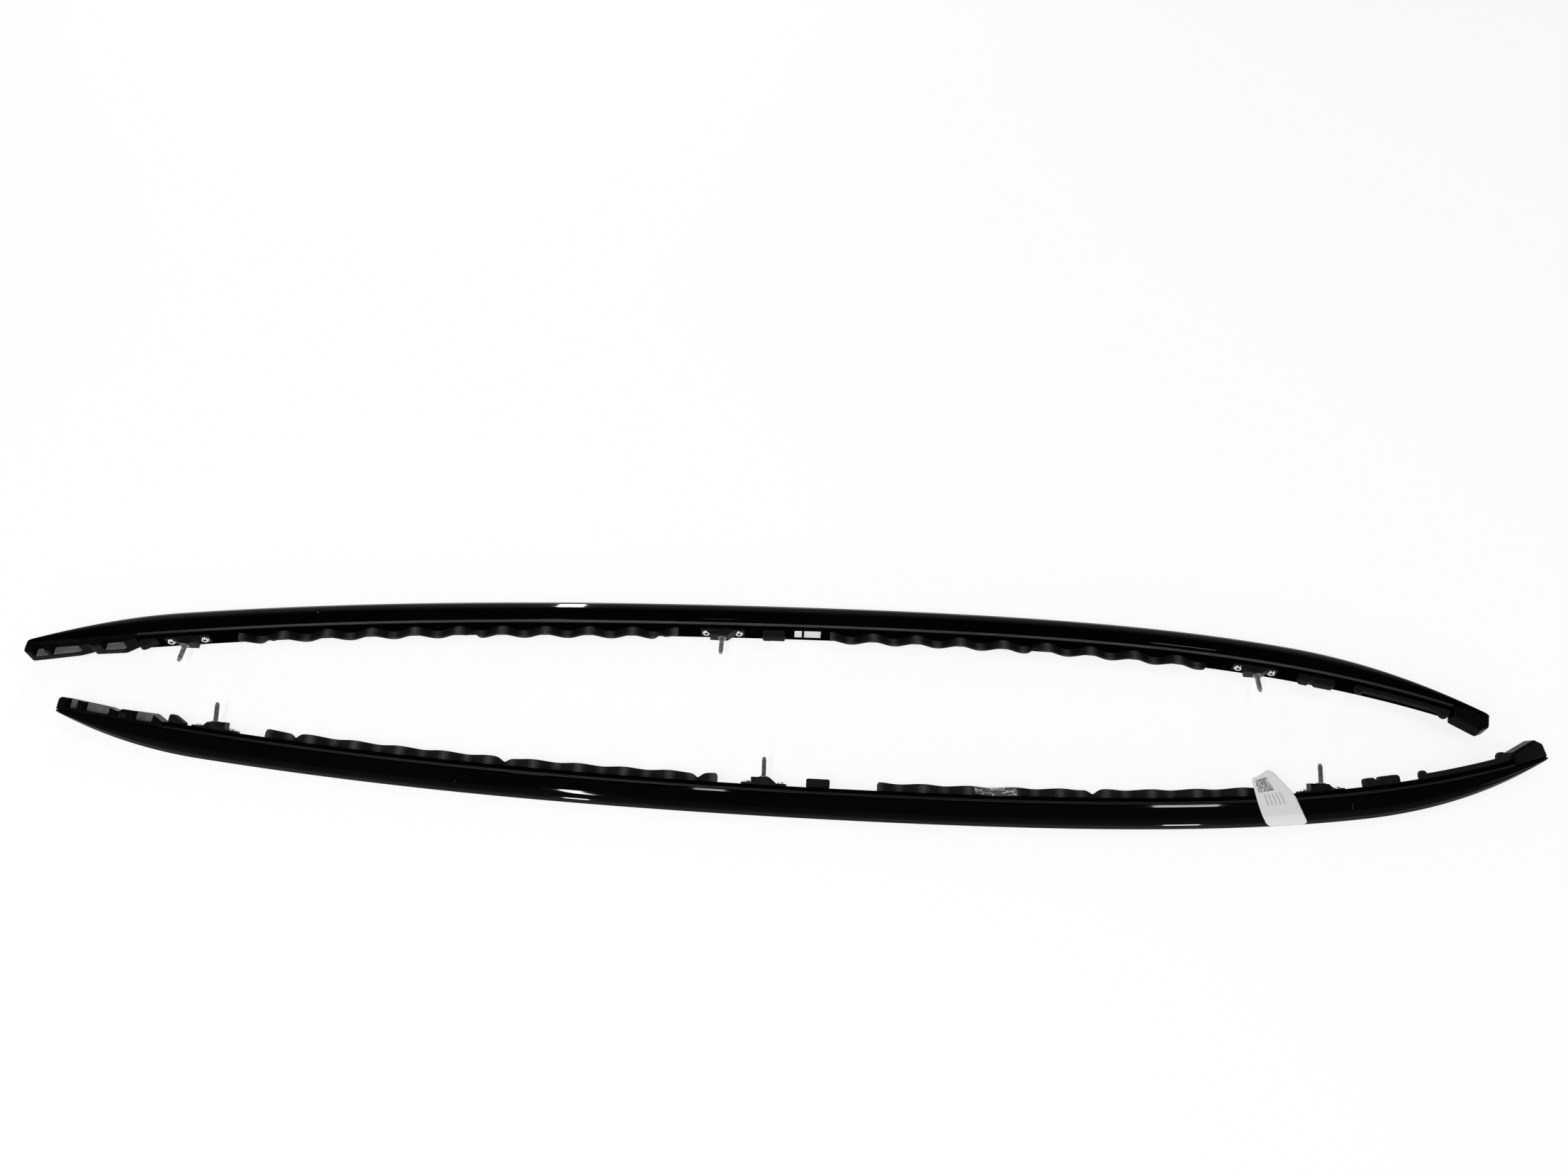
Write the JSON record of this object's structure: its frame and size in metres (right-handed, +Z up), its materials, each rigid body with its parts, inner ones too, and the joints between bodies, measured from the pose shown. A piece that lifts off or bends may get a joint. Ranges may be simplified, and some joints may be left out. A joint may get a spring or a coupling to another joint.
{
  "type": "roof side rail pair",
  "caption": "Bowed gloss-black car roof side rails with edge seals, end mouldings, rubber pads and studded brackets, a mirrored pair lying on its inner sides",
  "frame": {"origin": "Middle of the pair's box, on the floor that the rails lie on", "axes": "+X along the rails towards their front tips, +Y from the left-hand rail to the right-hand rail, +Z up from the floor"},
  "size_m": [1.9234, 0.2784, 0.0306],
  "materials": {
    "gloss_black_rail": "gloss black coated metal",
    "satin_seal": "satin dark grey",
    "black_moulding": "semi-gloss moulded black",
    "black_bracket": "satin black coated steel",
    "zinc_stud": "zinc plated",
    "silver_rivet": "bright aluminium",
    "rubber_pad": "matte black"
  },
  "bodies": {
    "root": {"left_edge_seal": "satin_seal", "left_front_bracket": "black_bracket", "left_front_end_cap": "black_moulding", "left_front_strip": "rubber_pad", "left_front_stud": "zinc_stud", "left_long_front_pad": "rubber_pad", "left_long_rear_pad": "rubber_pad", "left_middle_bracket": "black_bracket", "left_middle_pad": "rubber_pad", "left_middle_stud": "zinc_stud", "left_rail_profile": "gloss_black_rail", "left_rear_bracket": "black_bracket", "left_rear_end_piece": "black_moulding", "left_rear_pad": "rubber_pad", "left_rear_stud": "zinc_stud", "left_rivets": "silver_rivet", "left_twin_pad": "rubber_pad", "right_edge_seal": "satin_seal", "right_front_bracket": "black_bracket", "right_front_end_cap": "black_moulding", "right_front_strip": "rubber_pad", "right_front_stud": "zinc_stud", "right_long_front_pad": "rubber_pad", "right_long_rear_pad": "rubber_pad", "right_middle_bracket": "black_bracket", "right_middle_pad": "rubber_pad", "right_middle_stud": "zinc_stud", "right_rail_profile": "gloss_black_rail", "right_rear_bracket": "black_bracket", "right_rear_end_piece": "black_moulding", "right_rear_pad": "rubber_pad", "right_rear_stud": "zinc_stud", "right_rivets": "silver_rivet", "right_twin_pad": "rubber_pad"}
  },
  "joints": []
}
